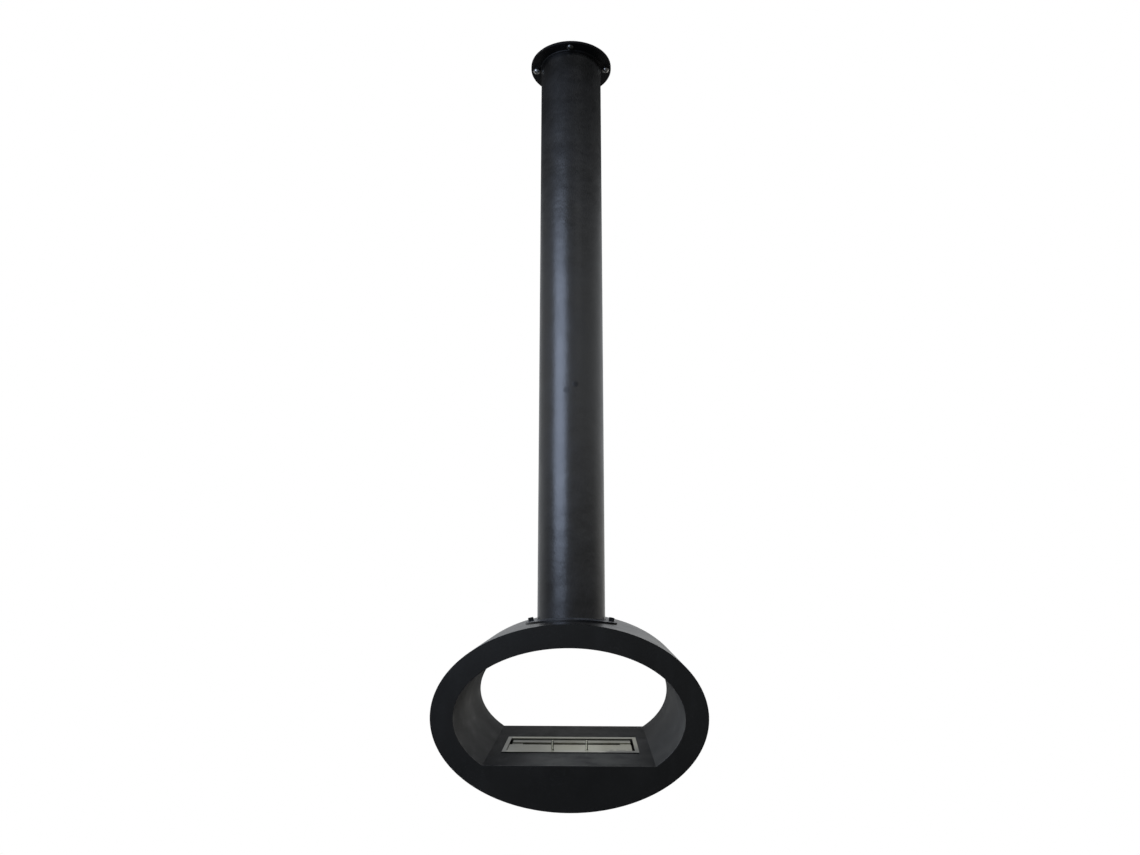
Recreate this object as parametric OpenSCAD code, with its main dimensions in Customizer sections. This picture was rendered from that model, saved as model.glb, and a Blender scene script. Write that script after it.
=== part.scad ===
// Hanging oval fireplace: a see-through steel drum on one tube, with a bio-ethanol burner
// let into its hearth. Millimetres, +Z up, +X to the right, +Y away from the front.
// The origin is the middle of the ceiling flange's top face, so all that hangs is below zero.

/* [Suspension tube] */
// Outside diameter of the tube
tube_d = 200; // [150:1:250]
// Wall of the tube
tube_wall = 2; // [1:0.5:5]
// Length from the ceiling flange's underside to the crown of the saddle plate
tube_l = 1805; // [600:1:3000]
// How far the tube's top end stays below the flange's top face
tube_setback = 3; // [1:0.5:5]
// Clearance between the tube and the bore of the ceiling flange
tube_slip = 0.2; // [0.1:0.1:0.8]

/* [Ceiling flange] */
// How far the flange stands out from the tube
flange_reach = 35; // [32:1:60]
// Thickness of the flange
flange_t = 8; // [6:0.5:12]
// Chamfer on the flange's two outer edges
flange_chamfer = 1; // [0.5:0.5:2]
// Leg of the fillet weld under the flange
flange_weld = 4; // [3:0.5:5]
// Distance from the tube to the middle of each ceiling bolt
ceiling_bolt_reach = 17; // [17:0.5:19]
// Number of ceiling bolts
ceiling_bolt_n = 4; // [3:1:8]
// Diameter of a ceiling bolt
ceiling_bolt_d = 12; // [8:1:12]
// Length of a ceiling bolt that stands above the flange, in the ceiling
ceiling_bolt_stand = 50; // [20:1:120]
// Clearance between a ceiling bolt and its holes, all round
ceiling_hole_gap = 1.25; // [1.2:0.05:1.5]
// Diameter of a ceiling bolt's domed head
dome_head_d = 21; // [18:0.5:22]
// Height of the domed head
dome_head_h = 6.6; // [5:0.1:8]
// Hexagon socket in the domed head, across its flats
dome_socket = 8; // [5:0.5:8]
// Outside diameter of a ceiling washer
washer_d = 24; // [22:0.5:25]
// Thickness of a ceiling washer
washer_t = 2.5; // [1.5:0.1:3]

/* [Oval body] */
// Width of the oval
oval_w = 718; // [660:1:900]
// Height of the oval
oval_h = 460; // [420:1:700]
// Depth of the body, front face to back face
oval_depth = 500; // [400:1:700]
// Width of the front plate at the sides of the opening
border_side = 60; // [45:1:75]
// Width of the front plate above the opening
border_top = 61; // [45:1:75]
// How far the opening's middle lies below the oval's middle
opening_sink = 3; // [0:0.5:10]
// Height of the hearth floor above the oval's lowest point
hearth_h = 111; // [100:1:140]
// Thickness of the front and back plates
plate_t = 3; // [2:0.5:5]
// Thickness of the outer and inner skins
skin_t = 2; // [1:0.5:3]
// Thickness of the hearth deck
deck_t = 3; // [2:0.5:5]
// How far the deck runs out under the feet of the inner skin
deck_lap = 12; // [6:1:20]

/* [Saddle] */
// How far the saddle plate stands out from the tube
saddle_reach = 35; // [32:1:50]
// Thickness of the saddle plate
saddle_t = 5; // [3:0.5:8]
// Leg of the weld round the tube's foot
saddle_weld = 3; // [2:0.5:5]
// Distance from the tube to the middle of a saddle bolt
saddle_bolt_reach = 17; // [14:0.5:18]
// Diameter of a saddle bolt
saddle_bolt_d = 10; // [6:1:12]
// Clearance between a saddle bolt and its holes, all round
saddle_hole_gap = 0.5; // [0.3:0.1:0.8]
// Diameter of a saddle bolt's cylindrical head
cap_head_d = 16; // [13:0.5:18]
// Height of the cylindrical head
cap_head_h = 10; // [6:0.5:12]
// Hexagon socket in the cylindrical head, across its flats
cap_socket = 8; // [5:0.5:10]
// Thickness of the backing plate inside the outer skin
backing_t = 4; // [3:0.5:6]
// Width of a weld nut across its flats
nut_af = 17; // [15:0.5:19]
// Height of a weld nut
nut_h = 8; // [5:0.5:10]
// Clearance between a saddle bolt and the thread of its nut
thread_gap = 0.1; // [0.05:0.05:0.2]
// How far a saddle bolt comes out of its nut
bolt_tip = 6; // [1:0.5:8]

/* [Ribs and angles] */
// Thickness of a rib between the skins
rib_t = 3; // [2:0.5:5]
// Distance of each rib from the middle of the body
rib_y = 95; // [60:1:120]
// Clearance round the backing plate where the ribs are cut out for it
rib_gap = 0.5; // [0.3:0.1:1]
// Leg of the angles that carry the deck
angle_leg = 20; // [15:1:30]
// Thickness of those angles
angle_t = 3; // [2:0.5:4]
// How far the ends of those angles stay inside the ends of the deck
angle_inset = 36; // [20:1:120]

/* [Burner] */
// Hearth floor that is left free at each end of the burner frame
floor_beside_burner = 32.8; // [20:0.1:60]
// Depth of the burner frame, front to back
burner_depth = 190; // [170:1:220]
// How far the burner's middle lies in front of the body's middle
burner_forward = 16; // [0:1:40]
// Width of the frame at its two ends
frame_end = 11; // [8:0.5:16]
// Width of the frame in front and behind
frame_side = 20; // [14:0.5:26]
// Thickness of the frame
frame_t = 2; // [1:0.5:3]
// Sheet of the tray and the tank
burner_sheet = 1.5; // [1:0.25:2.5]
// Depth of the tray below the deck's top face
tray_h = 50; // [40:1:60]
// Clearance between the tray and the deck's cut-out, all round
tray_gap = 1.5; // [0.5:0.1:3]
// Gap between the tank and the tray at the ends
tank_gap_end = 7; // [4:0.5:9]
// Gap between the tank and the tray in front and behind
tank_gap_side = 9; // [6:0.5:12]
// Clearance between the wool and the tank, all round
wool_gap = 1; // [0.5:0.1:3]
// Height of the wool block
wool_h = 26; // [15:1:32]

/* [Lid] */
// Thickness of the lid and of the stop strip
lid_t = 2; // [1:0.25:3]
// How far the lid's top face lies below the frame's top face
lid_recess = 3; // [2:0.25:4]
// Travel of the lid from open to shut
lid_travel = 25; // [15:0.5:28]
// Gap that is left at each end of the travel
lid_end_gap = 0.3; // [0.2:0.1:0.5]
// Clearance in front of the open lid
lid_front_gap = 3; // [1:0.5:5]
// Clearance between the lid and the recess at its left end
lid_left_gap = 0.5; // [0.3:0.1:1]
// Clearance between the lid and the recess at its right end
lid_right_gap = 6.5; // [2:0.5:7]
// Width of the stop strip behind the slot
strip_depth = 32; // [22:1:36]
// Distance from each end of the flame slot to the end of the tank
slot_inset = 30; // [15:0.5:70]
// How far the lid and the strip overlap each long edge of the slot
slot_lap = 1.5; // [1:0.25:3]
// Diameter of a lid pin
pin_d = 6; // [4:0.5:8]
// Height of a lid pin above the lid
pin_h = 23; // [10:1:28]
// Distance from the lid's front edge to the middle of each pin
pin_inset = 25; // [8:0.5:40]
// Distance between the two lid pins
pin_spacing = 95; // [60:1:140]

/* [Hidden] */
$fn = 96;

// Number of flats that stand for the curve of the oval
oval_flats = 144;
// Overrun of every cut past the face that it opens
cut = 1;
// Depth of a hexagon socket as a share of its head's height
socket_depth_share = 0.6;
// Chamfer on a lid pin's top as a share of its diameter
pin_chamfer_share = 0.15;

// Suspension tube and ceiling flange
tube_r = tube_d / 2;
tube_bore_r = tube_r - tube_wall;
flange_r = tube_r + flange_reach;
flange_bore_r = tube_r + tube_slip;
ceiling_bolt_r = tube_r + ceiling_bolt_reach;
ceiling_hole_r = ceiling_bolt_d / 2 + ceiling_hole_gap;
// Radius of the sphere whose cap is the domed head
dome_r = (pow(dome_head_d / 2, 2) + pow(dome_head_h, 2)) / (2 * dome_head_h);

// The oval's half width and half height, and its middle
oval_a = oval_w / 2;
oval_b = oval_h / 2;
oval_z = -(flange_t + tube_l + saddle_t + oval_b);
// The opening's half width and half height, and its middle
open_a = oval_a - border_side;
open_b = oval_b - border_top + opening_sink;
open_z = oval_z - opening_sink;
// Top face of the hearth floor
floor_z = oval_z - oval_b + hearth_h;
inside_depth = oval_depth - 2 * plate_t;
// Half width of the deck, which runs on under the feet of the inner skin
deck_a = half_chord(open_a + skin_t, open_b + skin_t, floor_z - open_z) + deck_lap;
// Half width of the floor that shows between the feet of the inner skin
floor_a = half_chord(open_a, open_b, floor_z - open_z);
angle_l = 2 * (deck_a - angle_inset);

// Saddle: the bolts stand square to the oval's surface
saddle_r = tube_r + saddle_reach;
saddle_bolt_x = tube_r + saddle_bolt_reach;
saddle_bolt_z = oval_z + half_chord(oval_b, oval_a, saddle_bolt_x);
saddle_tilt = atan(oval_b * saddle_bolt_x / (oval_a * half_chord(oval_a, oval_a, saddle_bolt_x)));
saddle_grip = skin_t + backing_t;
saddle_bolt_l = saddle_t + saddle_grip + nut_h + bolt_tip;

// Burner: the recess in its frame, the tray below it and the tank in the tray
burner_y = -burner_forward;
burner_w = 2 * (floor_a - floor_beside_burner);
frame_z = floor_z + frame_t;
recess_w = burner_w - 2 * frame_end;
recess_depth = burner_depth - 2 * frame_side;
tray_w = recess_w + 2 * burner_sheet;
tray_depth = recess_depth + 2 * burner_sheet;
tank_w = recess_w - 2 * tank_gap_end;
tank_depth = recess_depth - 2 * tank_gap_side;
tank_z = floor_z - tray_h + burner_sheet;
lid_z = frame_z - lid_recess - lid_t;
tank_h = lid_z - burner_sheet - tank_z;
wool_z = tank_z + burner_sheet;

// Lid: it lies open in front, and shuts against the strip behind the slot
strip_y = burner_y + tank_depth / 2 - strip_depth;
lid_back_y = strip_y - lid_travel - lid_end_gap;
lid_front_y = burner_y - recess_depth / 2 + lid_front_gap;
lid_depth = lid_back_y - lid_front_y;
lid_left_x = -recess_w / 2 + lid_left_gap;
lid_w = recess_w - lid_left_gap - lid_right_gap;
pin_x = lid_left_x + lid_w / 2;
pin_y = lid_front_y + pin_inset;
slot_y = lid_back_y + slot_lap;
slot_depth = strip_y - slot_lap - slot_y;
slot_l = tank_w - 2 * slot_inset;

coat = "#1d1d1f";
raw_black = "#2a2a2c";
stainless = "#a9a79f";
zinc = "#c9cacb";
wool_white = "#e6e2d6";

// Half length of an ellipse's chord, at a distance from its middle
function half_chord(half_along, half_across, distance) =
    half_along * sqrt(1 - pow(distance / half_across, 2));

// An ellipse in the plane of the front face
module ellipse(half_w, half_h) {
    step = 360 / oval_flats;
    polygon([for (i = [0 : oval_flats - 1]) [half_w * cos(i * step), half_h * sin(i * step)]]);
}

// Stands a drawing of the front face up, round the middle of the body
module drum(length, z) {
    translate([0, 0, z]) rotate([90, 0, 0]) linear_extrude(height = length, center = true) children();
}

// A solid elliptical drum, grown beyond the oval by the given wall
module oval_drum(grow, length) {
    drum(length, oval_z) ellipse(oval_a + grow, oval_b + grow);
}

// Everything above the hearth floor, in a drawing round the given height
module above_floor(z) {
    translate([-oval_w, floor_z - z]) square([2 * oval_w, oval_h]);
}

// The firebox opening, grown by the wall of the inner skin
module opening(grow) {
    intersection() {
        ellipse(open_a + grow, open_b + grow);
        above_floor(open_z);
    }
}

// A round piece of bent plate on the oval's top, between two distances from its surface
module bent_ring(bore_r, outer_r, inside, outside) {
    intersection() {
        translate([0, 0, oval_z]) difference() {
            cylinder(r = outer_r, h = oval_h);
            translate([0, 0, -cut]) cylinder(r = bore_r, h = oval_h + 2 * cut);
        }
        difference() {
            oval_drum(outside, 2 * outer_r + 2 * cut);
            oval_drum(inside, 2 * outer_r + 4 * cut);
        }
    }
}

// Places its children at the ceiling bolts
module at_ceiling_bolts() {
    for (i = [0 : ceiling_bolt_n - 1])
        rotate([0, 0, i * 360 / ceiling_bolt_n]) translate([ceiling_bolt_r, 0, 0]) children();
}

// Places its children at the saddle bolts, on the oval's surface and square to it
module at_saddle_bolts() {
    for (side = [-1, 1])
        translate([side * saddle_bolt_x, 0, saddle_bolt_z]) rotate([0, side * saddle_tilt, 0]) children();
}

// Clearance holes for the saddle bolts
module saddle_holes() {
    reach = saddle_t + saddle_grip + 2 * cut;
    at_saddle_bolts()
        translate([0, 0, -reach]) cylinder(r = saddle_bolt_d / 2 + saddle_hole_gap, h = 2 * reach);
}

// A block centred on the burner, standing on the given height
module burner_block(w, depth, z, h) {
    translate([-w / 2, burner_y - depth / 2, z]) cube([w, depth, h]);
}

// Hexagon of a width across its flats
module hexagon(across, h) {
    cylinder(r = across / sqrt(3), h = h, $fn = 6);
}

// Flat ring that is bolted to the ceiling, with the fillet weld that holds the tube
module ceiling_flange() {
    color(coat) difference() {
        rotate_extrude() polygon([
            [flange_bore_r, 0],
            [flange_r - flange_chamfer, 0],
            [flange_r, -flange_chamfer],
            [flange_r, flange_chamfer - flange_t],
            [flange_r - flange_chamfer, -flange_t],
            [tube_r + flange_weld, -flange_t],
            [flange_bore_r, -flange_t - flange_weld]
        ]);
        at_ceiling_bolts()
            translate([0, 0, -flange_t - cut]) cylinder(r = ceiling_hole_r, h = flange_t + 2 * cut);
    }
}

// Bolts up into the ceiling, with domed heads and hexagon sockets
module ceiling_bolts() {
    seat_z = -flange_t - washer_t;
    color(zinc) at_ceiling_bolts() difference() {
        union() {
            translate([0, 0, seat_z])
                cylinder(d = ceiling_bolt_d, h = ceiling_bolt_stand - seat_z);
            intersection() {
                translate([0, 0, seat_z - dome_head_h + dome_r]) sphere(r = dome_r);
                translate([0, 0, seat_z - dome_head_h]) cylinder(d = dome_head_d, h = dome_head_h);
            }
        }
        translate([0, 0, seat_z - dome_head_h - cut])
            hexagon(dome_socket, dome_head_h * socket_depth_share + cut);
    }
}

module ceiling_washers() {
    color(zinc) at_ceiling_bolts() translate([0, 0, -flange_t - washer_t]) difference() {
        cylinder(d = washer_d, h = washer_t);
        translate([0, 0, -cut]) cylinder(r = ceiling_hole_r, h = washer_t + 2 * cut);
    }
}

// Straight tube; its foot is cut to the curve of the saddle plate that it stands on
module suspension_tube() {
    foot_z = oval_z + oval_b / 2;
    length = -tube_setback - foot_z;
    color(coat) difference() {
        translate([0, 0, foot_z]) cylinder(r = tube_r, h = length);
        translate([0, 0, foot_z - cut]) cylinder(r = tube_bore_r, h = length + 2 * cut);
        oval_drum(saddle_t, tube_d + 2 * cut);
    }
}

// Round plate bent over the oval, with the weld bead round the tube's foot
module saddle_plate() {
    color(coat) difference() {
        union() {
            bent_ring(tube_bore_r, saddle_r, 0, saddle_t);
            bent_ring(tube_r, tube_r + saddle_weld, 0, saddle_t + saddle_weld);
        }
        saddle_holes();
    }
}

// Socket-head screws through the saddle, the skin and the backing plate
module saddle_bolts() {
    color(raw_black) at_saddle_bolts() difference() {
        union() {
            translate([0, 0, saddle_t - saddle_bolt_l])
                cylinder(d = saddle_bolt_d, h = saddle_bolt_l);
            translate([0, 0, saddle_t]) cylinder(d = cap_head_d, h = cap_head_h);
        }
        translate([0, 0, saddle_t + cap_head_h * (1 - socket_depth_share)])
            hexagon(cap_socket, cap_head_h);
    }
}

// Bent ring inside the outer skin, which spreads the load of the saddle
module backing_plate() {
    color(raw_black) difference() {
        bent_ring(tube_bore_r, saddle_r, -saddle_grip, -skin_t);
        saddle_holes();
    }
}

// Nuts welded under the backing plate, each seated on the plate's curve
module weld_nuts() {
    color(zinc) intersection() {
        at_saddle_bolts() translate([0, 0, -saddle_grip - nut_h]) difference() {
            hexagon(nut_af, nut_h + cut);
            translate([0, 0, -cut]) cylinder(r = saddle_bolt_d / 2 + thread_gap, h = nut_h + 3 * cut);
        }
        oval_drum(-saddle_grip, 2 * nut_af);
    }
}

// Sheet rolled right round the oval, between the front and back plates
module outer_skin() {
    color(coat) difference() {
        oval_drum(0, inside_depth);
        oval_drum(-skin_t, inside_depth + 2 * cut);
        saddle_holes();
    }
}

// Arched sheet that lines the firebox and stands on the deck
module inner_skin() {
    color(coat) drum(inside_depth, open_z) difference() {
        opening(skin_t);
        ellipse(open_a, open_b);
    }
}

// Flat oval plate with the firebox opening; the part below the hearth floor is closed
module face_plate() {
    drum(plate_t, oval_z) difference() {
        ellipse(oval_a, oval_b);
        translate([0, open_z - oval_z]) opening(0);
    }
}

module front_plate() {
    color(coat) translate([0, (plate_t - oval_depth) / 2, 0]) face_plate();
}

module back_plate() {
    color(coat) translate([0, (oval_depth - plate_t) / 2, 0]) face_plate();
}

// Two arched ribs between the skins, cut out round the backing plate
module ribs() {
    color(raw_black) difference() {
        for (side = [-1, 1]) translate([0, side * rib_y, 0]) drum(rib_t, oval_z) difference() {
            intersection() {
                ellipse(oval_a - skin_t, oval_b - skin_t);
                above_floor(oval_z);
            }
            translate([0, open_z - oval_z]) ellipse(open_a + skin_t, open_b + skin_t);
        }
        bent_ring(tube_bore_r - rib_gap, saddle_r + rib_gap, -saddle_grip - rib_gap, 0);
    }
}

// Angles on the insides of the front and back plates, which carry the deck
module deck_angles() {
    color(raw_black) for (side = [0, 1]) mirror([0, side, 0])
        translate([-angle_l / 2, inside_depth / 2, floor_z - deck_t]) rotate([90, 0, 90])
            linear_extrude(height = angle_l) polygon([
                [0, 0],
                [-angle_leg, 0],
                [-angle_leg, -angle_t],
                [-angle_t, -angle_t],
                [-angle_t, -angle_leg],
                [0, -angle_leg]
            ]);
}

// Flat firebox floor with the cut-out that the burner's tray hangs in
module hearth_deck() {
    color(coat) difference() {
        translate([-deck_a, -inside_depth / 2, floor_z - deck_t])
            cube([2 * deck_a, inside_depth, deck_t]);
        burner_block(tray_w + 2 * tray_gap, tray_depth + 2 * tray_gap,
            floor_z - deck_t - cut, deck_t + 2 * cut);
    }
}

// Flat stainless frame that lies on the deck
module burner_frame() {
    color(stainless) difference() {
        burner_block(burner_w, burner_depth, floor_z, frame_t);
        burner_block(recess_w, recess_depth, floor_z - cut, frame_t + 2 * cut);
    }
}

// Folded box under the frame, which holds the tank and catches spills
module burner_tray() {
    color(stainless) difference() {
        burner_block(tray_w, tray_depth, floor_z - tray_h, tray_h);
        burner_block(recess_w, recess_depth, tank_z, tray_h);
    }
}

// Folded box for the fuel, open at the top
module fuel_tank() {
    color(stainless) difference() {
        burner_block(tank_w, tank_depth, tank_z, tank_h);
        burner_block(tank_w - 2 * burner_sheet, tank_depth - 2 * burner_sheet, wool_z, tank_h);
    }
}

// Ceramic wool that soaks up the fuel
module ceramic_wool() {
    margin = 2 * (burner_sheet + wool_gap);
    color(wool_white) burner_block(tank_w - margin, tank_depth - margin, wool_z, wool_h);
}

// Plate on the tank, with the flame slot
module tank_top() {
    color(stainless) difference() {
        burner_block(tank_w, tank_depth, lid_z - burner_sheet, burner_sheet);
        translate([-slot_l / 2, slot_y, lid_z - burner_sheet - cut])
            cube([slot_l, slot_depth, burner_sheet + 2 * cut]);
    }
}

// Strip behind the slot, which the lid meets when it is shut
module stop_strip() {
    color(stainless) translate([-tank_w / 2, strip_y, lid_z]) cube([tank_w, strip_depth, lid_t]);
}

// Plate that slides back over the slot; it is drawn open
module sliding_lid() {
    color(stainless) translate([lid_left_x, lid_front_y, lid_z]) cube([lid_w, lid_depth, lid_t]);
}

// Two pins that a hook catches to slide the lid
module lid_pins() {
    pin_r = pin_d / 2;
    chamfer = pin_d * pin_chamfer_share;
    color(stainless) for (side = [-1, 1])
        translate([pin_x + side * pin_spacing / 2, pin_y, lid_z + lid_t]) rotate_extrude() polygon([
            [0, 0],
            [pin_r, 0],
            [pin_r, pin_h - chamfer],
            [pin_r - chamfer, pin_h],
            [0, pin_h]
        ]);
}

ceiling_flange();
ceiling_bolts();
ceiling_washers();
suspension_tube();
saddle_plate();
saddle_bolts();
backing_plate();
weld_nuts();
outer_skin();
inner_skin();
front_plate();
back_plate();
ribs();
deck_angles();
hearth_deck();
burner_frame();
burner_tray();
fuel_tank();
ceramic_wool();
tank_top();
stop_strip();
sliding_lid();
lid_pins();
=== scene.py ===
from math import cos, hypot, pi, radians, sqrt

import bmesh
import bpy
from mathutils import Matrix, Vector, noise


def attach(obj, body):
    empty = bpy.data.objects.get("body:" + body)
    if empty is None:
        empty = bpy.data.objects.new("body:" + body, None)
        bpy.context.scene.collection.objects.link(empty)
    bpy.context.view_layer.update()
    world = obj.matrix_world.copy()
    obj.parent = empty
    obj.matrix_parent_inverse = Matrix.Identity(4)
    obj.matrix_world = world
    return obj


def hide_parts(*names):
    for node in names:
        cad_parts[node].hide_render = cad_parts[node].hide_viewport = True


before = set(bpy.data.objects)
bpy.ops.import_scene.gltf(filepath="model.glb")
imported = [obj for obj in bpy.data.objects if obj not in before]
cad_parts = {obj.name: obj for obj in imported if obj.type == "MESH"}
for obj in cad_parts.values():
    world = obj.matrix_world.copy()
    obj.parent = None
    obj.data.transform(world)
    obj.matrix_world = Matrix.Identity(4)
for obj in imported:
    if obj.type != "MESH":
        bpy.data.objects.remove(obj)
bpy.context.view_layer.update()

# Ceiling flange: a flat steel ring that is bolted to the ceiling. The tube passes into it and is
# welded underneath. Steel plate, powder coated satin black, painted darker than the drum as shade.


class Value:
    """A number that varies over a surface. Arithmetic on it adds Math nodes to its material."""

    def __init__(self, finish, socket):
        self.finish = finish
        self.socket = socket

    def math(self, operation, *numbers):
        """The result of a Math node."""
        return self.finish.node("ShaderNodeMath", {"operation": operation}, dict(enumerate(numbers)))

    def __add__(self, other):
        return self.math("ADD", self, other)

    def __sub__(self, other):
        return self.math("SUBTRACT", self, other)

    def __rsub__(self, other):
        return self.math("SUBTRACT", other, self)

    def __mul__(self, other):
        return self.math("MULTIPLY", self, other)

    def __abs__(self):
        return self.math("ABSOLUTE", self)

    __radd__ = __add__
    __rmul__ = __mul__

    def between(self, low, high):
        """0 at low, 1 at high and smooth between them. Low may be the greater of the two."""
        return self.finish.node(
            "ShaderNodeMapRange",
            {"interpolation_type": "SMOOTHSTEP", "clamp": True},
            {"Value": self, "From Min": low, "From Max": high},
        )


class Finish:
    """A material. The values given with its name stay the same all over the surface."""

    def __init__(self, name, **constants):
        self.material = bpy.data.materials.new(name)
        self.material.use_nodes = True
        self.tree = self.material.node_tree
        self.shader = self.tree.nodes["Principled BSDF"]
        for socket, value in constants.items():
            self.shader.inputs[socket.replace("_", " ")].default_value = value

    def node(self, kind, settings, sockets, output=0):
        """Adds a node with its settings and what goes into its sockets, and gives one output."""
        made = self.tree.nodes.new(kind)
        for name, value in settings.items():
            setattr(made, name, value)
        for key, value in sockets.items():
            if isinstance(value, Value):
                self.tree.links.new(value.socket, made.inputs[key])
            else:
                made.inputs[key].default_value = value
        return Value(self, made.outputs[output])

    def place(self, axis=None):
        """The point on the piece, in metres, or one of its coordinates."""
        point = self.node("ShaderNodeTexCoord", {}, {}, "Object")
        if axis is None:
            return point
        return self.node("ShaderNodeSeparateXYZ", {}, {"Vector": point}, axis)

    def facing(self, axis):
        """How much the surface faces along an axis, from -1 to 1."""
        normal = self.node("ShaderNodeTexCoord", {}, {}, "Normal")
        return self.node("ShaderNodeSeparateXYZ", {}, {"Vector": normal}, axis)

    def grain(self, size, detail=2, stretch=(1, 1, 1)):
        """Cloudy pattern from about 0.3 to 0.7, with features of a size in metres."""
        scaled = self.node("ShaderNodeMapping", {}, {"Vector": self.place(), "Scale": stretch})
        sockets = {"Vector": scaled, "Scale": 1 / size, "Detail": detail}
        return self.node("ShaderNodeTexNoise", {}, sockets)

    def blend(self, share, colour, other):
        """A colour that goes to the other one as the share goes from 0 to 1."""
        return self.node(
            "ShaderNodeMix",
            {"data_type": "RGBA"},
            {"Factor": share, 6: colour_of(colour), 7: colour_of(other)},
            2,
        )

    def bump(self, height, depth, under=None):
        """A normal from a height that goes from 0 to 1, depth metres deep."""
        sockets = {"Height": height, "Strength": 1.0, "Distance": depth}
        if under is not None:
            sockets["Normal"] = under
        return self.node("ShaderNodeBump", {}, sockets)

    def feed(self, **feeds):
        """Links values to the shader's sockets, in place of what fed them before."""
        for socket, value in feeds.items():
            self.tree.links.new(value.socket, self.shader.inputs[socket.replace("_", " ")])

    def fed(self, socket):
        """What feeds one of the shader's sockets so far."""
        return Value(self, self.shader.inputs[socket].links[0].from_socket)


def colour_of(colour):
    """A grey number or a colour's three numbers, with alpha. A value in the material stays as it is."""
    if isinstance(colour, Value):
        return colour
    return (*colour, 1) if isinstance(colour, tuple) else (colour, colour, colour, 1)


def powder_coat(name, colour, smudge, roughness, gloss):
    """Sprayed and baked powder: orange peel, slow cloudy unevenness, handling smudges and dust."""
    coat = Finish(name, Specular_IOR_Level=gloss)
    cloud = coat.grain(0.16, 4)
    smears = coat.grain(0.05, 3, (1, 1, 0.25)).between(0.48, 0.72)
    dust = coat.grain(0.0016, 1).between(0.66, 0.74) * coat.grain(0.11, 2).between(0.45, 0.65)
    darker = tuple(c * 0.85 for c in colour)
    paler = tuple(c * 1.18 for c in colour)
    dull = coat.blend(cloud.between(0.3, 0.7), darker, paler)
    smudged = coat.blend(smears * 0.3, dull, smudge)
    coat.feed(
        Base_Color=coat.blend(dust * 0.35, smudged, 0.12),
        Roughness=(cloud - 0.5) * 0.08 + smears * 0.04 + dust * 0.15 + roughness,
        Normal=coat.bump(coat.grain(0.0022, 2), 0.00012, coat.bump(cloud, 0.0004)),
    )
    return coat


def turned(outline, steps, closed=True):
    """A closed or open outline of (radius, height) points, turned once round the tube's axis."""
    bm = bmesh.new()
    points = [bm.verts.new((r, 0, z)) for r, z in outline]
    ends = points[1:] + points[:1] if closed else points[1:]
    lines = [bm.edges.new(pair) for pair in zip(points, ends)]
    bmesh.ops.spin(
        bm, geom=points + lines, cent=(0, 0, 0), axis=(0, 0, 1), angle=2 * pi, steps=steps, use_merge=True
    )
    bmesh.ops.remove_doubles(bm, verts=bm.verts, dist=1e-6)
    bmesh.ops.recalc_face_normals(bm, faces=bm.faces)
    return bm


def rod(radius, low, high, steps=48):
    """A plain cylinder on the tube's axis."""
    return turned([(0, low), (radius, low), (radius, high), (0, high)], steps, closed=False)


def soften(bm, width, segments=3, angle=30, where=lambda middle: True):
    """Rounds the sharp edges whose middles are where it says."""
    sharp = [
        e for e in bm.edges
        if e.calc_face_angle(0) > radians(angle) and where((e.verts[0].co + e.verts[1].co) / 2)
    ]
    bmesh.ops.bevel(
        bm, geom=sharp, offset=width, offset_type="OFFSET", segments=segments, profile=0.5,
        affect="EDGES", material=-1, clamp_overlap=True,
    )
    return bm


def copied_to(bm, places):
    """The same solid at each of the places, and no longer where it was."""
    first = bm.verts[:] + bm.edges[:] + bm.faces[:]
    for place in places:
        copy = bmesh.ops.duplicate(bm, geom=first)["geom"]
        bmesh.ops.transform(bm, matrix=place, verts=[v for v in copy if isinstance(v, bmesh.types.BMVert)])
    bmesh.ops.delete(bm, geom=first, context="VERTS")
    return bm


def laid_down(bm, name="scratch"):
    """Turns a bmesh into an object in the scene."""
    mesh = bpy.data.meshes.new(name)
    bm.to_mesh(mesh)
    bm.free()
    made = bpy.data.objects.new(name, mesh)
    bpy.context.scene.collection.objects.link(made)
    return made


def cut_out(bm, *tools):
    """Takes the tools' solids out of a solid."""
    solid = laid_down(bm)
    cutters = [laid_down(tool) for tool in tools]
    for cutter in cutters:
        boolean = solid.modifiers.new("cut", "BOOLEAN")
        boolean.object = cutter
        boolean.solver = "EXACT"
    left = bmesh.new()
    left.from_object(solid, bpy.context.evaluated_depsgraph_get())
    for spent in (solid, *cutters):
        bpy.data.meshes.remove(spent.data)
    return left


def piece(name, bm, finish, body, node, sharp=33):
    """Makes a solid a piece of the object, in a CAD node's place, smooth between its sharp edges."""
    bmesh.ops.remove_doubles(bm, verts=bm.verts, dist=1e-6)
    bmesh.ops.recalc_face_normals(bm, faces=bm.faces)
    for face in bm.faces:
        face.smooth = True
    for edge in bm.edges:
        edge.smooth = edge.calc_face_angle(0) < radians(sharp)
    made = laid_down(bm, name)
    made.data.materials.append(finish.material)
    even = made.modifiers.new("even shading", "WEIGHTED_NORMAL")
    even.keep_sharp = True
    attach(made, body)
    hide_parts(node)


def weld_bead(radius, leg):
    """A fillet weld round a tube's outside, standing on zero, with the ripples that the torch leaves."""
    ripple = 0.0001
    ripple_pitch = 0.0028
    ripples = round(2 * pi * radius / ripple_pitch)
    steps_a_ripple = 6
    bm = turned(
        [(radius, 0), (radius + leg, 0), (radius + 0.76 * leg, 0.42 * leg),
         (radius + 0.42 * leg, 0.76 * leg), (radius, leg)],
        steps_a_ripple * ripples,
    )
    for v in bm.verts:
        out = hypot(v.co.x, v.co.y)
        if out > radius + 0.1 * leg and v.co.z > 0.1 * leg:
            turn = ripples * (noise.noise(v.co * 60) * 0.02 + v.co.xy.angle_signed(Vector((1, 0)), 0))
            wave = ripple * (cos(turn) + 2 * noise.noise(v.co * 90))
            v.co.x *= 1 + wave / out
            v.co.y *= 1 + wave / out
            v.co.z += wave
    return bm


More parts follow.
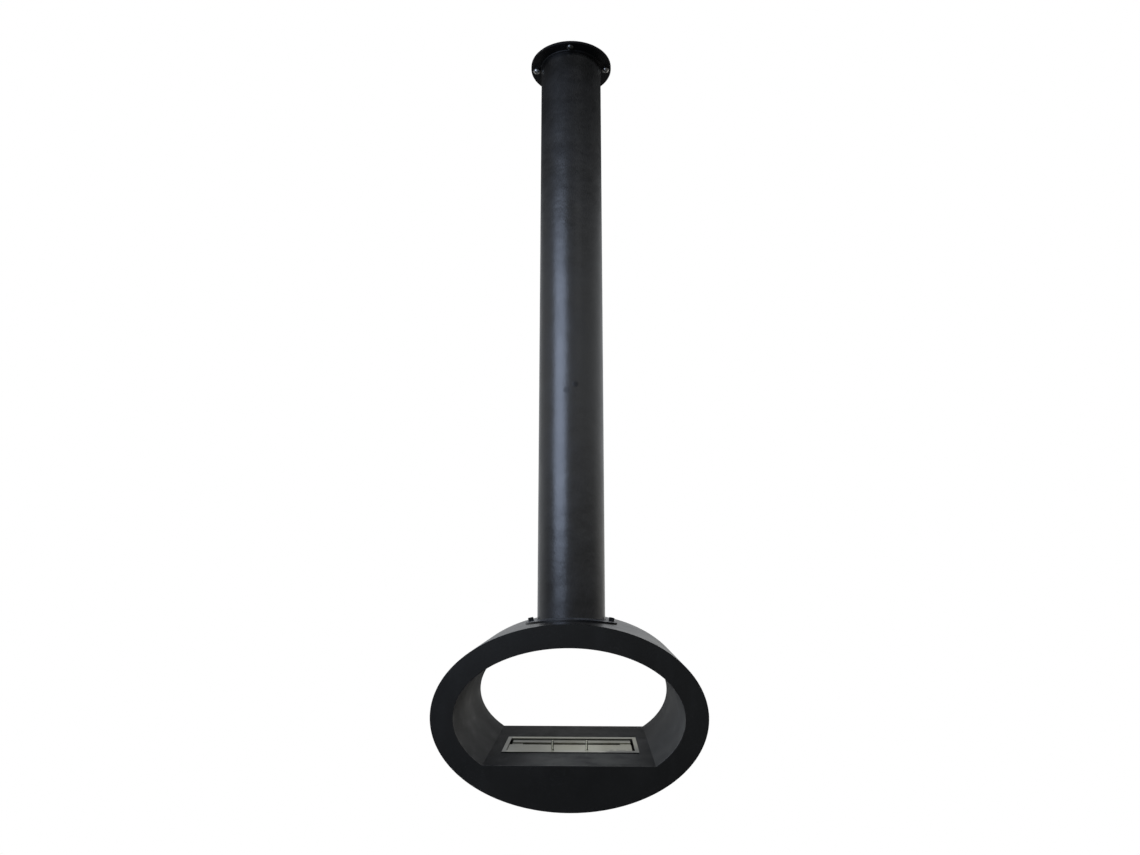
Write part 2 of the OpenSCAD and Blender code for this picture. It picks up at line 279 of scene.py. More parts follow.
drum_coat = powder_coat(
    "satin black powder coat", (0.0042, 0.0042, 0.0046), (0.011, 0.011, 0.012), 0.36, 0.8
)
# Painted shade: the flange and its weld get a darker, duller copy of the black coat, as if in shade.
flange_coat_with_painted_shade = powder_coat("ceiling flange coat with painted shade", (0.0016, 0.0016, 0.0016), (0.004, 0.004, 0.004), 0.5, 0.3)

tube_r = 0.1
flange_r = 0.135
flange_hole_r = 0.1002
flange_t = 0.008
bolt_circle_r = 0.117
bolt_r = 0.006
bolt_hole_r = 0.00725
round_steps = 256
weld_r = tube_r + 0.0001

ring = turned(
    [(flange_hole_r, 0), (flange_r, 0), (flange_r, -flange_t), (flange_hole_r, -flange_t)], round_steps
)
round_the_flange = [
    Matrix.Rotation(turn * pi / 2, 4, "Z") @ Matrix.Translation((bolt_circle_r, 0, 0)) for turn in range(4)
]
ring = cut_out(ring, copied_to(rod(bolt_hole_r, -2 * flange_t, flange_t), round_the_flange))
soften(ring, 0.0009)
piece("flange_ring", ring, flange_coat_with_painted_shade, "hung_body", "ceiling_flange")

bead = weld_bead(weld_r, 0.004)
turned_over = Matrix.Translation((0, 0, -flange_t)) @ Matrix.Scale(-1, 4, (0, 0, 1))
bmesh.ops.transform(bead, matrix=turned_over, verts=bead.verts)
piece("flange_weld", bead, flange_coat_with_painted_shade, "hung_body", "ceiling_flange", sharp=50)

# Ceiling bolts and washers: four M12 screws with domed heads and hexagon sockets, run up through the
# flange into anchors. Bright zinc plate, with painted shade on the front one. Their threads stand in
# the ceiling.

zinc = Finish("bright zinc plate", Metallic=1.0, Specular_IOR_Level=0.5)
plating = zinc.grain(0.004, 4)
scratches = zinc.grain(0.0016, 2, (1, 1, 6)).between(0.55, 0.75)
bright = zinc.blend(plating.between(0.35, 0.65), (0.55, 0.54, 0.5), (0.72, 0.71, 0.67))
# Painted shade: the front screw and its washer are painted dark, as if in shade.
front_screw_painted_shade = zinc.place("Y").between(-0.09, -0.11) * 0.95
zinc.feed(
    Base_Color=zinc.blend(front_screw_painted_shade, bright, (0.12, 0.12, 0.11)),
    Roughness=scratches * 0.14 + (plating - 0.5) * 0.2 + 0.34,
    Normal=zinc.bump(scratches, 0.00004, zinc.bump(plating, 0.00008)),
)

washer_r = 0.012
washer_t = 0.0025
head_r = 0.0105
head_h = 0.0066
key_size = 0.008
bolt_pitch = 0.00175
seat_z = -flange_t - washer_t
stand = 0.05
dome_r = (head_r ** 2 + head_h ** 2) / (2 * head_h)
dome_middle_z = seat_z - head_h + dome_r


def hexagon(across_flats, low, high):
    """A hexagonal prism on the tube's axis."""
    bm = rod(across_flats / sqrt(3), low, high, 6)
    bmesh.ops.rotate(bm, cent=(0, 0, 0), matrix=Matrix.Rotation(pi / 6, 3, "Z"), verts=bm.verts)
    return bm


def thread(radius, pitch, low, high):
    """A threaded end on the tube's axis, cut off flat and closed at both ends."""
    bm = bmesh.new()
    root = radius - 0.61 * pitch
    outline = [
        (root, 0), (root, 0.12 * pitch), (radius, 0.44 * pitch), (radius, 0.56 * pitch), (root, pitch)
    ]
    points = [bm.verts.new((r, 0, low + z)) for r, z in outline]
    lines = [bm.edges.new(pair) for pair in zip(points, points[1:])]
    turns = int((high - low) / pitch) + 2
    steps_a_turn = 24
    bmesh.ops.spin(
        bm, geom=points + lines, cent=(0, 0, 0), axis=(0, 0, 1), dvec=(0, 0, pitch / steps_a_turn),
        angle=2 * pi * turns, steps=steps_a_turn * turns, use_merge=False,
    )
    bmesh.ops.remove_doubles(bm, verts=bm.verts, dist=1e-5)
    for height, way in ((low + pitch, -1), (high, 1)):
        cut = bmesh.ops.bisect_plane(
            bm, geom=bm.verts[:] + bm.edges[:] + bm.faces[:], dist=1e-7, plane_co=(0, 0, height),
            plane_no=(0, 0, way), clear_outer=True,
        )
        end = [e for e in cut["geom_cut"] if isinstance(e, bmesh.types.BMEdge)]
        bmesh.ops.contextual_create(bm, geom=end)
    return bm


def joined(bm, other):
    """Puts another solid into a bmesh."""
    mesh = bpy.data.meshes.new("scratch")
    other.to_mesh(mesh)
    other.free()
    bm.from_mesh(mesh)
    bpy.data.meshes.remove(mesh)
    return bm


dome = [(0, seat_z - head_h)]
dome_steps = 14
widest = head_r / dome_r
for step in range(1, dome_steps + 1):
    across = widest * step / dome_steps
    dome.append((dome_r * across, dome_middle_z - dome_r * sqrt(1 - across ** 2)))
screw = turned(dome + [(bolt_r, seat_z), (bolt_r, 0.0), (0, 0.0)], 48, closed=False)
screw = cut_out(screw, hexagon(key_size, seat_z - 2 * head_h, seat_z - 0.4 * head_h))
soften(screw, 0.00025, 2, 40, lambda middle: middle.z < seat_z)
screw = joined(screw, thread(bolt_r, bolt_pitch, -0.002, stand))
piece("ceiling_screws", copied_to(screw, round_the_flange), zinc, "hung_body", "ceiling_bolts")

washer = turned(
    [(bolt_hole_r, -flange_t), (washer_r, -flange_t), (washer_r, seat_z), (bolt_hole_r, seat_z)], 64
)
soften(washer, 0.0004, 2)
piece("screw_washers", copied_to(washer, round_the_flange), zinc, "hung_body", "ceiling_washers")

# Suspension tube: 200 mm round steel tube with a 2 mm wall. Its foot is cut to the curve of the drum
# and stands on the saddle plate. Powder coated black, blotchy, with two knocks and painted shade on its
# top.

oval_a = 0.359
oval_b = 0.23
oval_z = -2.048
saddle_t = 0.005
tube_wall = 0.002
tube_inner_r = tube_r - tube_wall
tube_top = -0.003


def on_oval(across, grow):
    """Height of the oval's top, grown by so much, at a distance from the middle."""
    return oval_z + (oval_b + grow) * sqrt(1 - (across / (oval_a + grow)) ** 2)


def laid_on_oval(bm, grow=0.0):
    """Bends a flat solid over the oval's top: its heights become distances from the oval."""
    for v in bm.verts:
        v.co.z = on_oval(v.co.x, grow + v.co.z)
    return bm


tube_coat = powder_coat("tube coat", (0.0045, 0.0045, 0.0048), (0.011, 0.011, 0.012), 0.33, 0.8)
x, y, z = [tube_coat.place(axis) for axis in "XYZ"]
right_knock = (x - 0.0156) * (x - 0.0156) + (z + 1.131) * (z + 1.131)
left_knock = (x + 0.0125) * (x + 0.0125) + (z + 1.149) * (z + 1.149)
knocks = right_knock.between(0.00011, 0.0) + left_knock.between(0.00016, 0.0) * 0.6
knocks = knocks * y.between(0.0, -0.05)
# Painted shade: the tube is painted darker towards its top, as if shaded by the flange.
painted_shade_under_flange = z.between(-0.13, -0.04) * 0.85
waves = tube_coat.grain(0.09, 4)
wiped = waves.between(0.38, 0.62)
blotchy = tube_coat.blend(wiped * 0.5, tube_coat.fed("Base Color"), (0.0145, 0.015, 0.0165))
tube_coat.feed(
    Base_Color=tube_coat.blend(knocks + painted_shade_under_flange, blotchy, 0.0005),
    Roughness=tube_coat.fed("Roughness") + knocks * 0.3 + (waves - 0.5) * 0.14,
    Normal=tube_coat.bump(knocks, 0.0004, tube_coat.bump(waves, 0.0022, tube_coat.fed("Normal"))),
)

tube = turned(
    [(tube_r, 0), (tube_r, tube_top), (tube_inner_r, tube_top), (tube_inner_r, 0)], round_steps
)
for v in tube.verts:
    if v.co.z == 0:
        v.co.z = on_oval(v.co.x, saddle_t)
soften(tube, 0.0005, 2, 30, lambda middle: middle.z > -0.01)
piece("tube_shell", tube, tube_coat, "hung_body", "suspension_tube")

# Saddle: a round plate, bent over the drum's top, with the tube welded to it. Two black cap screws hold
# it through the skin to a backing ring inside, where two nuts are welded. Dust and painted light lighten
# its top.

saddle_r = 0.135
saddle_bolt_x = 0.117
saddle_hole_r = 0.0055
slope = oval_b * saddle_bolt_x / (oval_a * oval_a * sqrt(1 - (saddle_bolt_x / oval_a) ** 2))
tilted = [
    Matrix.Translation((side * saddle_bolt_x, 0, on_oval(saddle_bolt_x, 0)))
    @ Matrix.Rotation(side * Vector((1, -slope)).angle(Vector((1, 0))), 4, "Y")
    for side in (-1, 1)
]

radii = [tube_inner_r, 0.107, 0.116, 0.125, saddle_r]
plate = turned([(r, saddle_t) for r in radii] + [(r, 0) for r in reversed(radii)], round_steps)
laid_on_oval(plate)
plate = cut_out(plate, copied_to(rod(saddle_hole_r, -2 * saddle_t, 2.4 * saddle_t), tilted))
soften(plate, 0.0005, 2, 40)
saddle_coat = powder_coat("saddle coat with dust and painted light", (0.002, 0.002, 0.002), (0.004, 0.004, 0.004), 0.4, 0.4)
upwards = saddle_coat.facing("Z").between(0.5, 0.85)
# Dust and painted light: the faces that look up are painted much lighter, partly dust and partly the light
# falling on them.
dust = upwards * (saddle_coat.grain(0.014, 4) * 1.4 + 0.3)
grimy_edge = (1 - upwards) * saddle_coat.place("X").between(0.0, 0.05)
saddle_coat.feed(
    Base_Color=saddle_coat.blend(dust, saddle_coat.fed("Base Color"), 0.14),
    Roughness=saddle_coat.fed("Roughness") + grimy_edge * 0.6,
)
piece("saddle", plate, saddle_coat, "hung_body", "saddle_plate")
bead = laid_on_oval(weld_bead(weld_r, 0.002), saddle_t)
piece("saddle_weld", bead, saddle_coat, "hung_body", "saddle_plate", sharp=50)

oxide = Finish("black oxide screw", Specular_IOR_Level=0.35)
oil = oxide.grain(0.003, 3)
oxide.feed(
    Base_Color=oxide.blend(oil.between(0.4, 0.7), 0.004, 0.011),
    Roughness=(oil - 0.5) * 0.3 + 0.42,
    Normal=oxide.bump(oxide.grain(0.0007, 2), 0.00005),
)
cap_r = 0.008
cap_h = 0.01
cap_edge = 0.0008
cap_screw_r = 0.005
knurl = 48
knurl_share = 0.965
cap = turned(
    [(0, saddle_t - 0.0005), (cap_r, saddle_t - 0.0005), (cap_r, saddle_t + cap_edge),
     (cap_r, saddle_t + cap_h - cap_edge), (cap_r - 0.0007, saddle_t + cap_h), (0, saddle_t + cap_h)],
    2 * knurl, closed=False,
)
for v in cap.verts:
    around = v.co.xy.angle_signed(Vector((1, 0)), 0)
    if saddle_t < v.co.z < saddle_t + cap_h - 0.0005 and cos(knurl * around) < 0:
        v.co.x *= knurl_share
        v.co.y *= knurl_share
cap = cut_out(cap, hexagon(key_size, saddle_t + 0.4 * cap_h, saddle_t + 2 * cap_h))
cap = joined(cap, rod(cap_screw_r, saddle_t - 0.025, saddle_t))
piece("saddle_screws", copied_to(cap, tilted), oxide, "hung_body", "saddle_bolts", sharp=25)

# Parts inside the drum's top: the backing ring, its two weld nuts and the two ribs between the skins.
# Mild steel with a grey primer, and zinc nuts. They are the CAD solids with their finish.

primer = Finish("grey primer", Specular_IOR_Level=0.4)
brushed_on = primer.grain(0.02, 4, (1, 1, 5))
primer.feed(
    Base_Color=primer.blend(brushed_on.between(0.35, 0.65), (0.15, 0.15, 0.155), (0.24, 0.235, 0.23)),
    Roughness=(brushed_on - 0.5) * 0.3 + 0.6,
    Normal=primer.bump(brushed_on, 0.0002),
)


def finished_node(node, finish):
    """Keeps a CAD solid as it is and gives it a finish."""
    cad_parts[node].data.materials.clear()
    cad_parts[node].data.materials.append(finish.material)


finished_node("backing_plate", primer)
finished_node("ribs", primer)
finished_node("weld_nuts", zinc)

# Outer skin: 2 mm sheet rolled right round the oval, between the front and back plates. Powder coated
# satin black.

half_depth = 0.25
plate_t = 0.003
skin_t = 0.002
oval_steps = 360


def oval_drum(half_w, half_h, front, back, z):
    """A solid oval drum that lies along Y."""
    bm = bmesh.new()
    upright = Matrix.Rotation(pi / 2, 4, "X")
    shape = Matrix.Translation((0, front, z)) @ Matrix.Diagonal((half_w, 1, half_h, 1)) @ upright
    bmesh.ops.create_circle(bm, cap_ends=True, segments=oval_steps, radius=1, matrix=shape)
    far_end = bmesh.ops.extrude_face_region(bm, geom=bm.faces[:])["geom"]
    far_end = [v for v in far_end if isinstance(v, bmesh.types.BMVert)]
    bmesh.ops.translate(bm, vec=(0, back - front, 0), verts=far_end)
    bmesh.ops.recalc_face_normals(bm, faces=bm.faces)
    return bm


skin_y = half_depth - plate_t
skin = cut_out(
    oval_drum(oval_a, oval_b, -skin_y, skin_y, oval_z),
    oval_drum(oval_a - skin_t, oval_b - skin_t, -half_depth, half_depth, oval_z),
)
piece("drum_skin", skin, drum_coat, "hung_body", "outer_skin")

# Inner skin: the sheet that arches over the firebox and stands on the deck. Matt heat-proof black, a
# little greyer than the outside, and painted greyer on the right wall as light.

open_a = 0.299
open_b = 0.172
open_z = oval_z - 0.003
floor_z = open_z - 0.116


def hearth_paint(name, low, high, gloss, greyed):
    """Matt heat-proof paint: a rough dry surface with soot, dust and rubbed patches. greyed gives the
    share of grey in it."""
    paint = Finish(name, Specular_IOR_Level=gloss)
    patches = paint.grain(0.12, 5).between(0.2, 0.8)
    rubbed = paint.grain(0.03, 4, (1, 0.35, 1)).between(0.5, 0.72)
    specks = paint.grain(0.0018, 1).between(0.64, 0.72)
    plain = paint.blend(greyed(paint), paint.blend(patches, low, high), (0.165, 0.155, 0.127))
    paint.feed(
        Base_Color=paint.blend(specks * 0.25, paint.blend(rubbed * 0.2, plain, 0.03), 0.12),
        Roughness=(patches - 0.5) * 0.1 + specks * 0.1 - rubbed * 0.05 + 0.66,
        Normal=paint.bump(paint.grain(0.0014, 3), 0.00022, paint.bump(patches, 0.0003)),
    )
    return paint


def painted_light_on_the_right(paint):
    """Painted light: the right wall is painted greyer than the left one, where more light falls on it."""
    return paint.place("X").between(-0.05, 0.26) * 0.15 + 0.01


wall_paint = hearth_paint(
    "heat-proof wall paint", (0.0135, 0.0135, 0.0135), (0.0163, 0.0163, 0.0161), 0.27, painted_light_on_the_right
)


def above_the_floor(bm):
    """Cuts a solid off at the hearth floor."""
    bmesh.ops.bisect_plane(
        bm, geom=bm.verts[:] + bm.edges[:] + bm.faces[:], dist=1e-7, plane_co=(0, 0, floor_z),
        plane_no=(0, 0, -1), clear_outer=True,
    )
    bmesh.ops.holes_fill(bm, edges=[e for e in bm.edges if e.is_boundary], sides=0)
    return bm


arch = above_the_floor(cut_out(
    oval_drum(open_a + skin_t, open_b + skin_t, -skin_y, skin_y, open_z),
    oval_drum(open_a, open_b, -half_depth, half_depth, open_z),
))
piece("firebox_arch", arch, wall_paint, "hung_body", "inner_skin")

# Front and back plates: flat oval rings, closed below the hearth floor, welded to the skins and ground
# flush. The front one is the face of the fireplace. Satin black, a little duller than the skin.

plate_coat = powder_coat(
    "front plate coat", (0.0072, 0.0068, 0.0058), (0.0118, 0.0112, 0.0098), 0.38, 0.38
)


def face_plate(front, back):
    """A flat oval plate with the opening in it and rounded edges."""
    opening = above_the_floor(oval_drum(open_a, open_b, front - plate_t, back + plate_t, open_z))
    return soften(cut_out(oval_drum(oval_a, oval_b, front, back, oval_z), opening), 0.0008, 3, 50)


piece(
    "front_face", face_plate(-half_depth, -skin_y), plate_coat, "hung_body", "front_plate"
)
piece("back_face", face_plate(skin_y, half_depth), plate_coat, "hung_body", "back_plate")

# Hearth deck: flat steel floor with the burner's cut-out, on two angles behind the plates. The same
# matt paint, greyed round the burner by its heat.


def greyed_by_heat(paint):
    """The paint is greyer round the middle of the burner, and most in front of it."""
    near = abs(paint.place("X") - 0.03).between(0.21, 0.06)
    front = paint.place("Y").between(0.16, -0.16)
    return near * (0.3 + 0.55 * front) * paint.grain(0.07, 3).between(0.05, 0.65)


deck_paint = hearth_paint(
    "heat-proof floor paint", (0.0055, 0.0055, 0.0053), (0.0078, 0.0077, 0.0073), 0.22, greyed_by_heat
)


def block(w, d, low, high, x=0.0, y=0.0):
    """An upright box centred on x and y."""
    bm = bmesh.new()
    shape = Matrix.Translation((x, y, (low + high) / 2)) @ Matrix.Diagonal((w, d, high - low, 1))
    bmesh.ops.create_cube(bm, size=1, matrix=shape)
    return bm


def corners_rounded(bm, radius):
    """Rounds the upright edges of a flat or boxed solid."""
    upright = [e for e in bm.edges if abs((e.verts[0].co - e.verts[1].co).normalized().z) > 0.9]
    upright = [e for e in upright if e.calc_face_angle(0) > radians(50)]
    bmesh.ops.bevel(
        bm, geom=upright, offset=radius, offset_type="OFFSET", segments=4, profile=0.5,
        affect="EDGES", material=-1, clamp_overlap=True,
    )
    return bm


burner_y = -0.016
recess_w = 0.35394
recess_d = 0.15
sheet = 0.0015
tray_gap = 0.0015
deck_w = 0.4727
deck_t = 0.003
cut_w = recess_w + 2 * sheet + 2 * tray_gap
cut_d = recess_d + 2 * sheet + 2 * tray_gap
deck = cut_out(
    block(deck_w, 2 * skin_y, floor_z - deck_t, floor_z),
    block(cut_w, cut_d, floor_z - 2 * deck_t, floor_z + deck_t, y=burner_y),
)
piece("hearth_floor", soften(deck, 0.0003, 2, 50), deck_paint, "hung_body", "hearth_deck")
finished_node("deck_angles", primer)

# Burner frame: flat strips of brushed stainless steel, mitred and welded at the corners and polished.
# It rests on the deck and carries the tray.


def brushed_steel(name, low, high, stain=None):
    """Stainless sheet brushed along X, slightly warm, with cloudy wear. stain adds marks of its own."""
    steel = Finish(name, Metallic=1.0)
    along_x = (0.02, 1, 1)
    lines = steel.grain(0.0005, 3, along_x)
    broad = steel.grain(0.004, 3, along_x)
    cloud = steel.grain(0.05, 4)
    tone = (lines - 0.5) * 0.9 + (broad - 0.5) * 0.8 + (cloud - 0.5) * 0.9 + 0.5
    colour = steel.blend(tone, low, high)
    if stain:
        colour = stain(steel, colour)
    steel.feed(
        Base_Color=colour,
        Roughness=(lines - 0.5) * 0.25 + (cloud - 0.5) * 0.15 + 0.36,
        Normal=steel.bump(lines, 0.00003, steel.bump(cloud, 0.0004)),
    )
    return steel


frame_w = 0.37594
frame_d = 0.19
frame_top = floor_z + 0.002


def frame_painted_light_and_shade(steel, colour):
    """Painted light and shade: a painted highlight in front of the middle, darker just right of it, and
    painted shade at the back, at the left end and along the front edge.
    """
    x = steel.place("X")
    y = steel.place("Y")
    front = y.between(0.0, -0.09)
    # rubbed places the painted highlight and dull gives the share of painted shade.
    rubbed = x.between(-0.12, 0.05) * x.between(0.11, 0.08)
    dull = front * (x.between(0.075, 0.115) * 0.3 - rubbed * 0.46 + 0.46) + (1 - front) * 0.22
    frame_painted_highlight = steel.blend(front * rubbed * 0.35, steel.blend(dull, colour, 0.0), (0.75, 0.74, 0.7))
    return steel.blend(x.between(-0.172, -0.178) * 0.58 + y.between(-0.1055, -0.1105) * 0.85, frame_painted_highlight, 0.0)


frame_steel = brushed_steel(
    "brushed stainless frame", (0.3, 0.29, 0.213), (0.44, 0.425, 0.318), frame_painted_light_and_shade
)
rim = cut_out(
    block(frame_w, frame_d, floor_z, frame_top, y=burner_y),
    block(recess_w, recess_d, floor_z - frame_w, frame_top + frame_w, y=burner_y),
)
corners_rounded(rim, 0.0015)
piece("burner_rim", soften(rim, 0.0003, 2, 50), frame_steel, "burner", "burner_frame")

# Burner tray and fuel tank: folded and welded stainless boxes, one in the other. The tray hangs from the
# frame in the deck's cut-out and catches spills; the tank stands in it.

# Painted shade: the steel inside the burner is a darker copy of the lid's steel, as if in shade.
inner_steel_painted_dark = brushed_steel("stainless inside the burner with painted shade", (0.1, 0.095, 0.085), (0.2, 0.19, 0.17))


def folded_box(w, d, low, high):
    """An open box of sheet in the burner, with its folds rounded."""
    bm = corners_rounded(block(w, d, low, high, y=burner_y), 0.0025)
    top = max(bm.faces, key=lambda face: face.calc_center_median().z)
    bmesh.ops.inset_region(bm, faces=[top], thickness=sheet, use_even_offset=True)
    down = bmesh.ops.extrude_discrete_faces(bm, faces=[top])["faces"]
    bmesh.ops.translate(bm, vec=(0, 0, low + sheet - high), verts=down[0].verts)
    return bm


tray_bottom = floor_z - 0.05
tray = folded_box(recess_w + 2 * sheet, recess_d + 2 * sheet, tray_bottom, floor_z)
piece("spill_tray", tray, inner_steel_painted_dark, "burner", "burner_tray")
tank_w = 0.33994
tank_d = 0.132
lid_z = floor_z - 0.003
tank_bottom = tray_bottom + sheet
tank = folded_box(tank_w, tank_d, tank_bottom, lid_z - sheet)
piece("tank", tank, inner_steel_painted_dark, "burner", "fuel_tank")

# Ceramic wool: a block of white fibre in the tank that soaks up the fuel. Soft and uneven on top, and
# browned in patches by the flames.

wool_top = lid_z - 0.018
wool_gap = 0.005
wool_dent = 0.0012
wool = block(tank_w - wool_gap, tank_d - wool_gap, tank_bottom + sheet, wool_top, y=burner_y)
for axis, cuts in ((0, 90), (1, 34)):
    long_edges = [e for e in wool.edges if abs(e.verts[0].co[axis] - e.verts[1].co[axis]) > 0.01]
    bmesh.ops.subdivide_edges(wool, edges=long_edges, cuts=cuts, use_grid_fill=True)
for v in wool.verts:
    if v.co.z > wool_top - 0.0001:
        v.co.z -= wool_dent + wool_dent * noise.fractal(v.co * 90, 1.0, 2.0, 4)
fibre = Finish("ceramic fibre", Specular_IOR_Level=0.1)
strands = fibre.grain(0.0009, 5, (1, 0.3, 1))
browned = fibre.grain(0.03, 4).between(0.4, 0.62)
white_strands = fibre.blend(strands, (0.55, 0.5, 0.4), (0.86, 0.83, 0.75))
fibre.feed(
    Base_Color=fibre.blend(browned * 0.5, white_strands, (0.2, 0.13, 0.07)),
    Roughness=(strands - 0.5) * 0.2 + 0.9,
    Normal=fibre.bump(strands, 0.0008),
)
piece("wool_block", wool, fibre, "burner", "ceramic_wool")

# Tank top, stop strip and lid: brushed stainless plates. The tank top has the flame slot. The strip is
# welded on behind it, and the loose lid in front slides back to meet it and shut the slot.

slot_w = 0.27994
slot_front = -0.0058
slot_back = 0.0165
strip_front = 0.018
strip_d = 0.032
lid_top = lid_z + 0.002


def flame_marks_and_painted_sheen(steel, colour):
    """Straw and brown heat tint along the slot and dried fuel on the lid's right, with painted shade
    towards the ends, a painted highlight right of the middle and the strip painted darker.
    """
    y = steel.place("Y")
    x = steel.place("X")
    heat = (1 - abs(y - 0.006).between(0.008, 0.05)) * (1 - abs(x).between(0.09, 0.17))
    warm = heat * steel.grain(0.02, 4).between(0.35, 0.6)
    tinted = steel.blend(warm * 0.55, colour, (0.26, 0.215, 0.14))
    splash = steel.grain(0.009, 5).between(0.4, 0.66) * x.between(0.07, 0.12) * y.between(-0.045, -0.08)
    marked = steel.blend(splash * 0.9, tinted, (0.1, 0.085, 0.06))
    # Painted shade: dull darkens the lid towards its left end and a little on its right; the strip behind
    # the slot is painted darker below.
    dull = x.between(0.0, -0.1) * 0.5 + x.between(-0.1, -0.17) * 0.16 + x.between(0.08, 0.15) * 0.12
    lid_painted_highlight = steel.blend(x.between(0.0, 0.05) * x.between(0.1, 0.07) * 0.3, marked, (0.7, 0.69, 0.58))
    return steel.blend(dull, steel.blend(y.between(0.016, 0.02) * 0.32, lid_painted_highlight, 0.0), 0.0)


lid_steel = brushed_steel(
    "brushed stainless lid", (0.312, 0.302, 0.213), (0.478, 0.462, 0.338), flame_marks_and_painted_sheen
)


def deburred(bm):
    """Small round corners and broken edges on a plate."""
    return soften(corners_rounded(bm, 0.0012), 0.00025, 2, 50)


slot_y = (slot_front + slot_back) / 2
top = cut_out(
    block(tank_w, tank_d, lid_z - sheet, lid_z, y=burner_y),
    block(slot_w, slot_back - slot_front, lid_z - 2 * sheet, lid_z + sheet, y=slot_y),
)
piece("tank_cover", deburred(top), lid_steel, "burner", "tank_top")
strip = deburred(block(tank_w, strip_d, lid_z, lid_top, y=strip_front + strip_d / 2))
piece("closing_strip", strip, lid_steel, "burner", "stop_strip")

lid_left = -0.17647
lid_right = 0.17047
lid_front = -0.088
lid_back = -0.0073
lid_x = (lid_left + lid_right) / 2
lid_y = (lid_front + lid_back) / 2
lid = deburred(block(lid_right - lid_left, lid_back - lid_front, lid_z, lid_top, lid_x, lid_y))
piece("lid_plate", lid, lid_steel, "lid", "sliding_lid")

# Lid pins: two short stainless pins, each in a small ring of weld upright on the lid. A hook catches
# them to slide it. Their right sides are painted dark as shade.


def painted_shade_on_right(steel, colour):
    """Painted shade: the pins' sides that face right are painted dark brown."""
    return steel.blend(steel.facing("X").between(0.1, 0.5) * 0.85, colour, (0.06, 0.055, 0.045))


pin_steel = brushed_steel(
    "turned stainless pins", (0.8, 0.75, 0.56), (0.97, 0.92, 0.72), painted_shade_on_right
)
pin_r = 0.003
pin_h = 0.023
pin_x = 0.0475
pin_y = lid_front + 0.025
pin = turned(
    [(0, 0), (0.0042, 0), (0.0036, 0.0006), (pin_r, 0.0013), (pin_r, pin_h - 0.0009),
     (pin_r - 0.0003, pin_h - 0.0003), (pin_r - 0.0009, pin_h), (0, pin_h)],
    40, closed=False,
)
pin_places = [Matrix.Translation((lid_x + side * pin_x, pin_y, lid_top)) for side in (-1, 1)]
piece("hook_pins", copied_to(pin, pin_places), pin_steel, "lid", "lid_pins")

# Room: a plain pale floor below, a plain ceiling that the flange is bolted to, both seen from inside the
# room only, soft light from behind and one tall soft window at the front left. It is white to the camera
# only: the black coats reflect plain, dimmer walls.


def pale_surface(name, z, size, up):
    """A round sheet, white to the camera. One that faces up keeps some shadow near the middle."""
    bm = bmesh.new()
    place = Matrix.Translation((0, 0, z))
    bmesh.ops.create_circle(bm, cap_ends=True, segments=96, radius=size, matrix=place)
    if not up:
        bmesh.ops.reverse_faces(bm, faces=bm.faces)
    sheet_piece = laid_down(bm, name)
    paint = Finish(name, Roughness=0.9, Specular_IOR_Level=0.1)
    paint.shader.inputs["Base Color"].default_value = (0.8, 0.8, 0.79, 1)
    tree = paint.tree
    whitened = paint.node("ShaderNodeLightPath", {}, {}, "Is Camera Ray")
    if up:
        x, y = paint.place("X"), paint.place("Y")
        whitened = whitened * ((x * x + y * y).between(0.25, 1.4) * 0.3 + 0.7)
    white = paint.node("ShaderNodeEmission", {}, {"Color": (1, 1, 1, 1), "Strength": 1.0})
    shown = paint.node("ShaderNodeMixShader", {}, {0: whitened, 2: white})
    tree.links.new(paint.shader.outputs[0], shown.socket.node.inputs[1])
    behind = paint.node("ShaderNodeNewGeometry", {}, {}, "Backfacing")
    clear = paint.node("ShaderNodeBsdfTransparent", {}, {})
    one_sided = paint.node("ShaderNodeMixShader", {}, {0: behind, 1: shown, 2: clear})
    tree.links.new(one_sided.socket, tree.nodes["Material Output"].inputs["Surface"])
    sheet_piece.data.materials.append(paint.material)
    return sheet_piece


pale_surface("floor", -2.85, 1.3, True)
ceiling = pale_surface("ceiling", 0.0006, 0.9, False)
ceiling.visible_diffuse = False
ceiling.visible_glossy = False
ceiling.visible_shadow = False

world = bpy.data.worlds.new("room")
world.use_nodes = True
bpy.context.scene.world = world


class Room(Finish):
    """The world's nodes, wired as a material's are."""

    def __init__(self, world):
        self.tree = world.node_tree


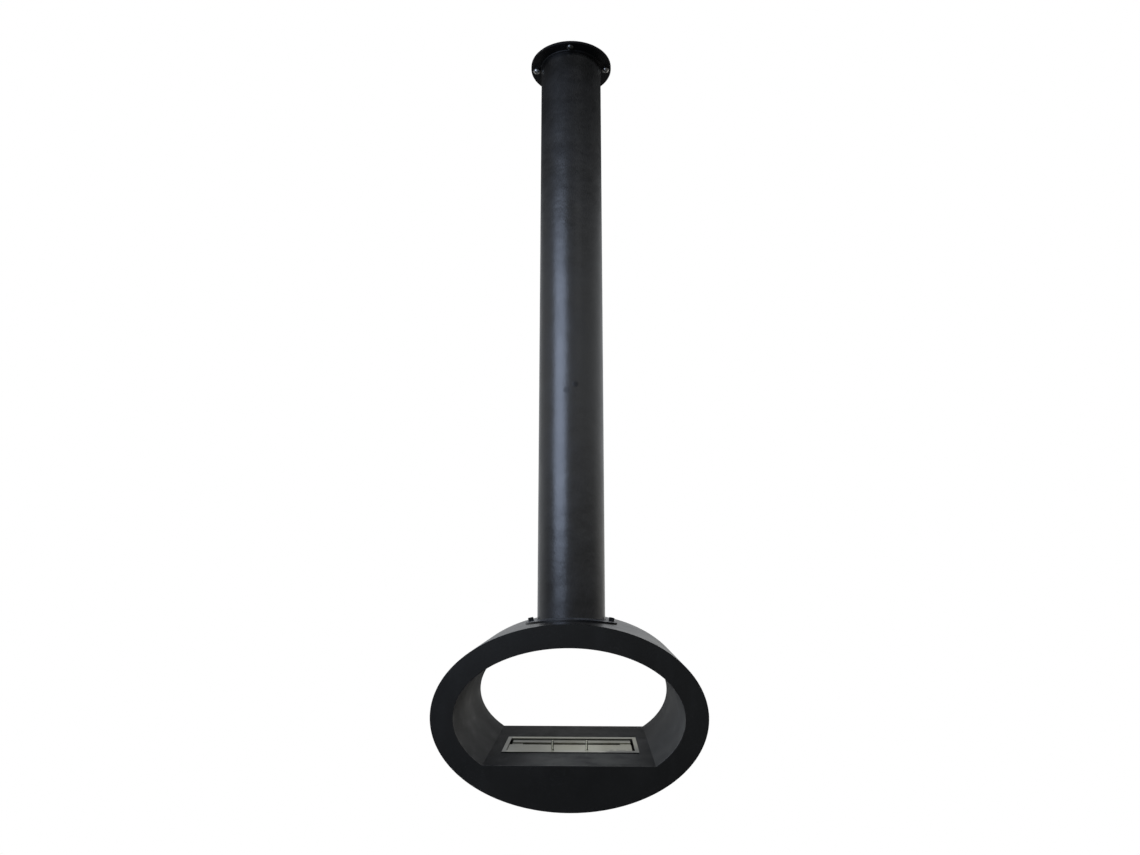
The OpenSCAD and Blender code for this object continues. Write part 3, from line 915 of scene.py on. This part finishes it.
room = Room(world)
direction = room.node("ShaderNodeTexCoord", {}, {}, "Generated")
side, ahead, height = [
    room.node("ShaderNodeSeparateXYZ", {}, {"Vector": direction}, axis) for axis in "XYZ"
]
front_light = (height.between(-0.1, 0.25) * 0.64 + 0.06) * (1 - height.between(0.4, 0.51))
doorway = side.between(0.2, 0.36) * side.between(0.62, 0.44) * height.between(0.25, 0.42)
front_light = front_light * (1 + doorway * 1.3)
high_left = side.between(-0.3, -0.8) * height.between(0.05, 0.25)
low_left = side.between(-0.1, -0.45) * height.between(0.05, -0.12)
straight_back = abs(side).between(0.75, 0.4)
horizon = height.between(-0.3, 0.15) * (1 - straight_back) + height.between(-0.45, -0.1) * straight_back
back_light = horizon * (1 - height.between(0.37, 0.52)) * 0.75 + 0.03
back_light = back_light * (1 - high_left * 0.4 + low_left * 0.25)
behind = ahead.between(-0.15, 0.45)
light = behind * back_light + (1 - behind) * front_light
low_right = side.between(-0.3, 0.3) * height.between(0.18, 0.03)
tint = room.blend(low_right, (0.94, 0.97, 1.0), (1.0, 0.99, 0.96))
to_camera = room.node("ShaderNodeLightPath", {}, {}, "Is Camera Ray")
colour = room.blend(to_camera, room.blend(light, 0.0, tint), 1.0)
background = world.node_tree.nodes["Background"]
world.node_tree.links.new(colour.socket, background.inputs["Color"])
background.inputs["Strength"].default_value = 1.0


def soft_light(name, place, target, w, h, watts, colour):
    """A rectangular area light that faces a point."""
    data = bpy.data.lights.new(name, "AREA")
    data.shape = "RECTANGLE"
    data.size = w
    data.size_y = h
    data.energy = watts
    data.color = colour
    lamp = bpy.data.objects.new(name, data)
    lamp.location = place
    lamp.rotation_euler = (Vector(target) - Vector(place)).to_track_quat("-Z", "Y").to_euler()
    bpy.context.scene.collection.objects.link(lamp)


soft_light("window", (-1.66, -2.13, -0.55), (0, 0, -1.0), 1.9, 2.0, 55, (0.62, 0.74, 1.0))

camera_data = bpy.data.cameras.new("camera")
camera_data.sensor_width = 36
camera_data.sensor_fit = "HORIZONTAL"
camera_data.lens = 23.668
viewer = bpy.data.objects.new("camera", camera_data)
viewer.location = (0.05902, -2.27758, -1.67838)
viewer.rotation_euler = (radians(90 + 10.771), 0, radians(1.576))
bpy.context.scene.collection.objects.link(viewer)
bpy.context.scene.camera = viewer
bpy.context.scene.view_settings.view_transform = "Standard"
